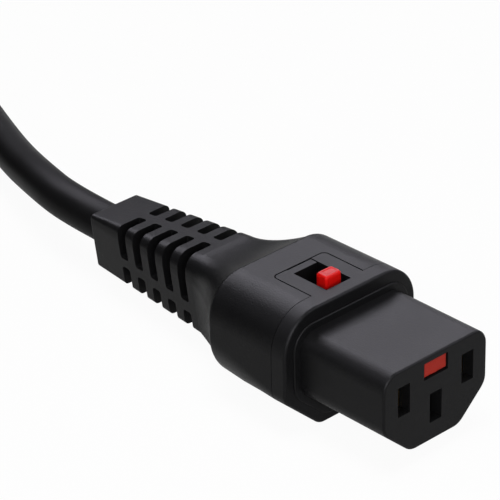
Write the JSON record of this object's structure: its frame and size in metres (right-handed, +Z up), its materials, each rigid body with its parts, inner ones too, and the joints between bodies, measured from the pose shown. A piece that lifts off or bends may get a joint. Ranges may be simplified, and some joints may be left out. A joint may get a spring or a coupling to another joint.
{
  "type": "locking mains power cord",
  "caption": "Short mains lead with a keyed locking socket, a sprung red release slider, a slotted strain relief, and a shrouded plug on the far end of its tied coil.",
  "frame": {"origin": "middle of the socket connector's box, on the table that it lies on", "axes": "+X out of the socket's mating face, +Z up through the release button"},
  "size_m": [0.2178, 0.0951, 0.023],
  "materials": {
    "black_moulding": "fine satin texture",
    "black_overmould": "fine matt texture",
    "red_moulding": "satin",
    "spring_steel": "bright wire",
    "lock_steel": "stamped",
    "contact_brass": "stamped and folded",
    "plated_pin": "nickel plated",
    "line_insulation": "smooth",
    "neutral_insulation": "smooth",
    "earth_insulation": "smooth, striped yellow",
    "bare_copper": "stranded copper",
    "inner_moulding": "as moulded",
    "cord_sheath": "smooth satin",
    "tie_band": "matt"
  },
  "bodies": {
    "lead": {"socket_core": "black_moulding", "socket_hood": "black_overmould", "slider_spring": "spring_steel", "spring_keeper": "black_moulding", "socket_premould": "inner_moulding", "socket_sheath": "cord_sheath", "cord_lead": "cord_sheath", "cord_coil": "cord_sheath", "coil_tie": "tie_band", "cord_tail": "cord_sheath", "plug_insert": "black_moulding", "plug_hood": "black_overmould", "plug_premould": "inner_moulding", "plug_sheath": "cord_sheath", "line_contact": "contact_brass", "plug_line_pin": "plated_pin", "socket_line_wire": "line_insulation", "socket_line_strand": "bare_copper", "plug_line_wire": "line_insulation", "plug_line_strand": "bare_copper", "neutral_contact": "contact_brass", "plug_neutral_pin": "plated_pin", "socket_neutral_wire": "neutral_insulation", "socket_neutral_strand": "bare_copper", "plug_neutral_wire": "neutral_insulation", "plug_neutral_strand": "bare_copper", "earth_contact": "contact_brass", "plug_earth_pin": "plated_pin", "socket_earth_wire": "earth_insulation", "socket_earth_strand": "bare_copper", "plug_earth_wire": "earth_insulation", "plug_earth_strand": "bare_copper"},
    "slider": {"release_slider": "red_moulding"},
    "plate": {"lock_plate": "lock_steel"}
  },
  "joints": [
    {"name": "slider_slide", "type": "slide", "parent": "lead", "child": "slider", "axis": [-1, 0, 0], "range_m": [0, 0.003], "stiffness_N_per_m": 300, "springref_m": -0.003, "deforming": ["slider_spring"]},
    {"name": "plate_tilt", "type": "hinge", "parent": "lead", "child": "plate", "pos_m": [0.0305, 0, 0.0042], "axis": [0, -1, 0], "range_deg": [0, 15]}
  ],
  "couplings": [
    {"joint": "plate_tilt", "follows": "slider_slide", "rad_per_m": 87.2}
  ]
}
